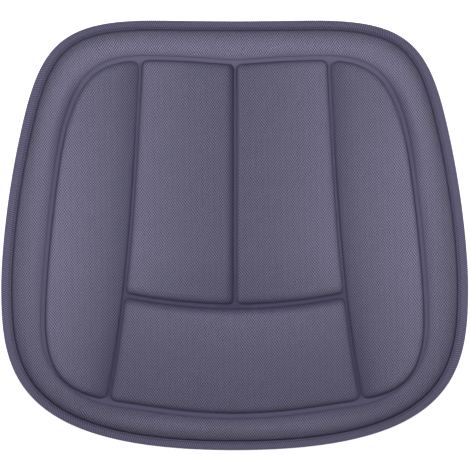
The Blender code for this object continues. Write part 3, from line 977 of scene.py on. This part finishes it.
def wovenCover():
    # polyester twill, heat-pressed along the channels: fine crossed ribs, matt, a little
    # darker and smoother where the press has flattened the yarn.
    # The real yarns lie about 0.7 mm apart; they are drawn at 2.1 mm so that they show.
    material, _, add = newMaterial("polyesterTwillPressed", 0.85, sheen=0.03, gloss=0.2)
    place = add("TexCoord")["Object"]
    split = add("SeparateXYZ", inputs={0: place})
    wobble = add("TexNoise", inputs={"Vector": place, "Scale": 60.0, "Detail": 2.0})["Fac"]
    ribs = []
    for across, along in twill["ribs"]:
        a = add("Math", times, {0: split["X"], 1: across})
        b = add("Math", timesPlus, {0: split["Y"], 1: along, 2: a[0]})
        c = add("Math", timesPlus, {0: wobble, 1: twill["wander"], 2: b[0]})
        turn = add("Math", times, {0: c[0], 1: 2 * math.pi})
        ribs.append(add("Math", {"operation": "SINE"}, {0: turn[0]})[0])
    patches = add("TexNoise", inputs={"Vector": place, "Scale": 100.0, "Detail": 1.0})["Fac"]
    turned = add("MapRange", inputs={
        "Value": patches, "From Min": 0.36, "From Max": 0.60, "To Min": 0.28, "To Max": 0.72})
    both = add("Mix", {"data_type": "FLOAT"}, {0: turned[0], 2: ribs[0], 3: ribs[1]})[0]
    pressed = add("Attribute", {"attribute_name": "pressed"})["Fac"]
    raised = add("Math", timesPlus, {0: pressed, 1: -twill["flattened"], 2: 1.0})[0]
    weave = add("Math", times, {0: both, 1: raised})[0]
    shade = add("MapRange", inputs={"Value": weave, "From Min": -1.0, "From Max": 1.0})[0]
    yarn = add("Mix", twoColours, {0: shade, "A": twill["dark"], "B": twill["light"]})["Result"]
    melt = add("Mix", twoColours, {0: pressed, "A": yarn, "B": twill["pressed"]})["Result"]
    # painted light and shade: the tone and fold attributes scale the colour, and where they darken it
    # a blue tint is added
    tone = add("Attribute", {"attribute_name": "tone"})["Fac"]
    fold = add("Attribute", {"attribute_name": "crease"})["Fac"]
    shaded = add("Math", timesPlus, {0: fold, 1: -twill["foldShade"], 2: 1.0})[0]
    factor = add("Math", times, {0: tone, 1: shaded})[0]
    scaled = add("VectorMath", {"operation": "SCALE"}, {0: melt, "Scale": factor})[0]
    paintedDarkness = add("Math", {"operation": "SUBTRACT", "use_clamp": True}, {0: 1.0, 1: factor})[0]
    paintedShadeColour = add("Mix", {"data_type": "RGBA", "blend_type": "ADD"}, {
        0: paintedDarkness, "A": scaled, "B": twill["shadeTint"]})["Result"]
    return dressed(material, paintedShadeColour, weave, strength=0.7, depth=0.0006)


def ribbedTape():
    # woven polyester binding tape: the raised ribs are in the mesh, the yarns within them here
    material, _, add = newMaterial("polyesterBindingTape", 0.8, sheen=0.03, gloss=0.2)
    uv = add("UVMap", {"uv_map": "tape"})["UV"]
    split = add("SeparateXYZ", inputs={0: uv})
    lean = add("Math", timesPlus, {0: split["Y"], 1: tape["lean"], 2: split["X"]})[0]
    turn = add("Math", times, {0: lean, 1: 2 * math.pi})
    wave = add("Math", {"operation": "COSINE"}, {0: turn[0]})[0]
    grain = add("TexNoise", inputs={"Vector": uv, "Scale": 2.5, "Detail": 3.0})["Fac"]
    mixed = add("Math", timesPlus, {0: grain, 1: 1.2, 2: wave})[0]
    shade = add("MapRange", inputs={"Value": mixed, "From Min": -0.6, "From Max": 1.8})[0]
    yarn = add("Mix", twoColours, {0: shade, "A": "#3D3953", "B": "#8884A3"})["Result"]
    # painted light and shade from the tone attribute
    tone = add("Attribute", {"attribute_name": "tone"})["Fac"]
    scaled = add("VectorMath", {"operation": "SCALE"}, {0: yarn, "Scale": tone})[0]
    return dressed(material, scaled, grain, strength=0.4, depth=0.0002)


def sewingThread():
    # spun polyester thread, dyed to the cover, with a slight lustre from its twist
    material, _, add = newMaterial("spunPolyesterThread", 0.55, sheen=0.1)
    place = add("TexCoord")["Object"]
    twist = add("TexWave", {"bands_direction": "DIAGONAL"}, {
        "Vector": place, "Scale": 900.0, "Distortion": 1.0})["Fac"]
    tone = add("Mix", twoColours, {0: twist, "A": "#2C283E", "B": "#464160"})["Result"]
    return dressed(material, tone, twist, strength=0.5, depth=0.0001)


def openCellFoam(name, light, dark):
    # slabstock polyurethane foam: matt, with open cells of about 0.5 mm, drawn at 1.5 mm
    material, _, add = newMaterial(name, 0.95)
    place = add("TexCoord")["Object"]
    cells = add("TexVoronoi", inputs={"Vector": place, "Scale": 650.0})["Distance"]
    cloud = add("TexNoise", inputs={"Vector": place, "Scale": 25.0, "Detail": 3.0})["Fac"]
    both = add("Math", timesPlus, {0: cloud, 1: 0.5, 2: cells})[0]
    tone = add("Mix", twoColours, {0: both, "A": dark, "B": light})["Result"]
    return dressed(material, tone, cells, strength=0.7, depth=0.0004)


def hotMeltWeb():
    # co-polyamide web adhesive: a thin milky film with a random fibre pattern
    material, _, add = newMaterial("hotMeltWeb", 0.45)
    place = add("TexCoord")["Object"]
    fibres = add("TexVoronoi", {"feature": "DISTANCE_TO_EDGE"}, {
        "Vector": place, "Scale": 220.0})["Distance"]
    shade = add("MapRange", inputs={"Value": fibres, "From Min": 0.0, "From Max": 0.15})[0]
    tone = add("Mix", twoColours, {0: shade, "A": "#F2F2EE", "B": "#CFCFC8"})["Result"]
    return dressed(material, tone)


def knittedLining():
    # tricot-knitted polyester: fine upright wales, matt, near black. The wales are 0.6 mm
    # apart on the real cloth and drawn at 1.6 mm.
    material, _, add = newMaterial("tricotLining", 0.9, sheen=0.1)
    place = add("TexCoord")["Object"]
    split = add("SeparateXYZ", inputs={0: place})
    waves = []
    for axis, pitch in (("X", 0.0016), ("Y", 0.0011)):
        turn = add("Math", times, {0: split[axis], 1: 2 * math.pi / pitch})
        waves.append(add("Math", {"operation": "SINE"}, {0: turn[0]})[0])
    knit = add("Math", timesPlus, {0: waves[1], 1: 0.4, 2: waves[0]})[0]
    shade = add("MapRange", inputs={"Value": knit, "From Min": -1.4, "From Max": 1.4})[0]
    tone = add("Mix", twoColours, {0: shade, "A": "#17171A", "B": "#34343A"})["Result"]
    return dressed(material, tone, knit, strength=0.6, depth=0.0002)


def gripRubber():
    # printed PVC plastisol, cured: satin, slightly uneven, black
    material, _, add = newMaterial("curedPlastisol", 0.42)
    place = add("TexCoord")["Object"]
    speck = add("TexNoise", inputs={"Vector": place, "Scale": 400.0, "Detail": 2.0})["Fac"]
    tone = add("Mix", twoColours, {0: speck, "A": "#141416", "B": "#26262A"})["Result"]
    return dressed(material, tone, speck, strength=0.2, depth=0.0001)


print("Puffing the cover")
grid = puffGrid()
print("Building the pieces")
thread = sewingThread()
coverCloth = buildCover(wovenCover(), grid)
edgeTape = buildTape(ribbedTape())
threadZ = level["tapeHigh"] - tape["grooveDepth"] + stitch["thickness"] / 4
needleStitches = buildStitches("needleStitches", threadZ, stitch["dip"], thread)
bobbinZ = level["tapeLow"] - stitch["thickness"] / 4
bobbinStitches = buildStitches("bobbinStitches", bobbinZ, -stitch["dip"], thread)
liningCloth = buildLining(knittedLining())
gripDots = buildDots(gripRubber())
softFoam = openCellFoam("softPolyurethaneFoam", "#F1EDE0", "#B9B29C")
firmFoam = openCellFoam("firmPolyurethaneFoam", "#8E9094", "#4B4D52")
padFoams = buildPads(softFoam, grid)
rimFoamPiece = buildRimFoam(softFoam, grid)
baseFoam = buildBase(firmFoam)
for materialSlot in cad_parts["bonding_film"].material_slots:
    materialSlot.material = hotMeltWeb()

declared = [
    (coverCloth, "top_cover", "woven_cover"),
    (edgeTape, "edge_binding", "ribbed_tape"),
    (needleStitches, "needle_thread", "sewing_thread"),
    (bobbinStitches, "bobbin_thread", "sewing_thread"),
    (liningCloth, "backing_cloth", "backing_cloth"),
    (gripDots, "grip_layer", "grip_coating"),
    (rimFoamPiece, "rim_foam", "soft_foam"),
    (baseFoam, "base_foam", "firm_foam"),
] + [(piece, node, "soft_foam") for node, piece in padFoams.items()]
for piece, node, slotName in declared:
    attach(piece, "root")
    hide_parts(node)


# Stage, lights and camera

stage = {"floorSize": 6.0, "floorGlow": 0.75, "floorBelow": 0.0002}
bpy.ops.object.select_all(action="DESELECT")
bpy.ops.mesh.primitive_plane_add(size=stage["floorSize"], location=(0, 0, -stage["floorBelow"]))
floor = bpy.context.object
floor.name = "floor"
floorMaterial, floorShader, _ = newMaterial("whiteSweep", 0.9)
floorShader.inputs["Base Color"].default_value = hexColour("#F7F7F7")
floorShader.inputs["Emission Color"].default_value = (1, 1, 1, 1)
floorShader.inputs["Emission Strength"].default_value = stage["floorGlow"]
floor.data.materials.append(floorMaterial)

lights = {
    "key": {"place": (0, 0.24, 1.3), "size": 0.5, "power": 10.6},
    "front": {"place": (0, -1.0, 1.3), "size": 0.7, "power": 1.7},
    "left": {"place": (-1.4, 0, 0.6), "size": 0.7, "power": 2.0},
    "right": {"place": (1.4, 0, 0.6), "size": 0.7, "power": 2.0},
}
for name, light in lights.items():
    bpy.ops.object.light_add(type="AREA", location=light["place"])
    lamp = bpy.context.object
    lamp.name = name
    lamp.data.size = light["size"]
    lamp.data.energy = light["power"]
    lamp.rotation_euler = (-Vector(light["place"])).to_track_quat("-Z", "Y").to_euler()

# a dim room for the light, seen as plain white
room = {"glow": 0.11, "seen": 1.0}
world = bpy.data.worlds.new("paleRoom")
world.use_nodes = True
background = world.node_tree.nodes["Background"]
background.inputs["Color"].default_value = (1, 1, 1, 1)
seen = addNode(world.node_tree, "LightPath")["Is Camera Ray"]
glow = addNode(world.node_tree, "MapRange", inputs={
    "Value": seen, "To Min": room["glow"], "To Max": room["seen"]})[0]
world.node_tree.links.new(glow, background.inputs["Strength"])
bpy.context.scene.world = world
bpy.context.scene.view_settings.view_transform = "Standard"

camera = {"height": 9.0, "frameWidth": 0.503, "aim": (0.00035, 0.00037), "sensor": 36.0}
cameraData = bpy.data.cameras.new("camera")
cameraData.sensor_width = camera["sensor"]
cameraData.lens = camera["sensor"] * camera["height"] / camera["frameWidth"]
cameraObject = bpy.data.objects.new("camera", cameraData)
cameraObject.location = (*camera["aim"], camera["height"])
bpy.context.scene.collection.objects.link(cameraObject)
bpy.context.scene.camera = cameraObject
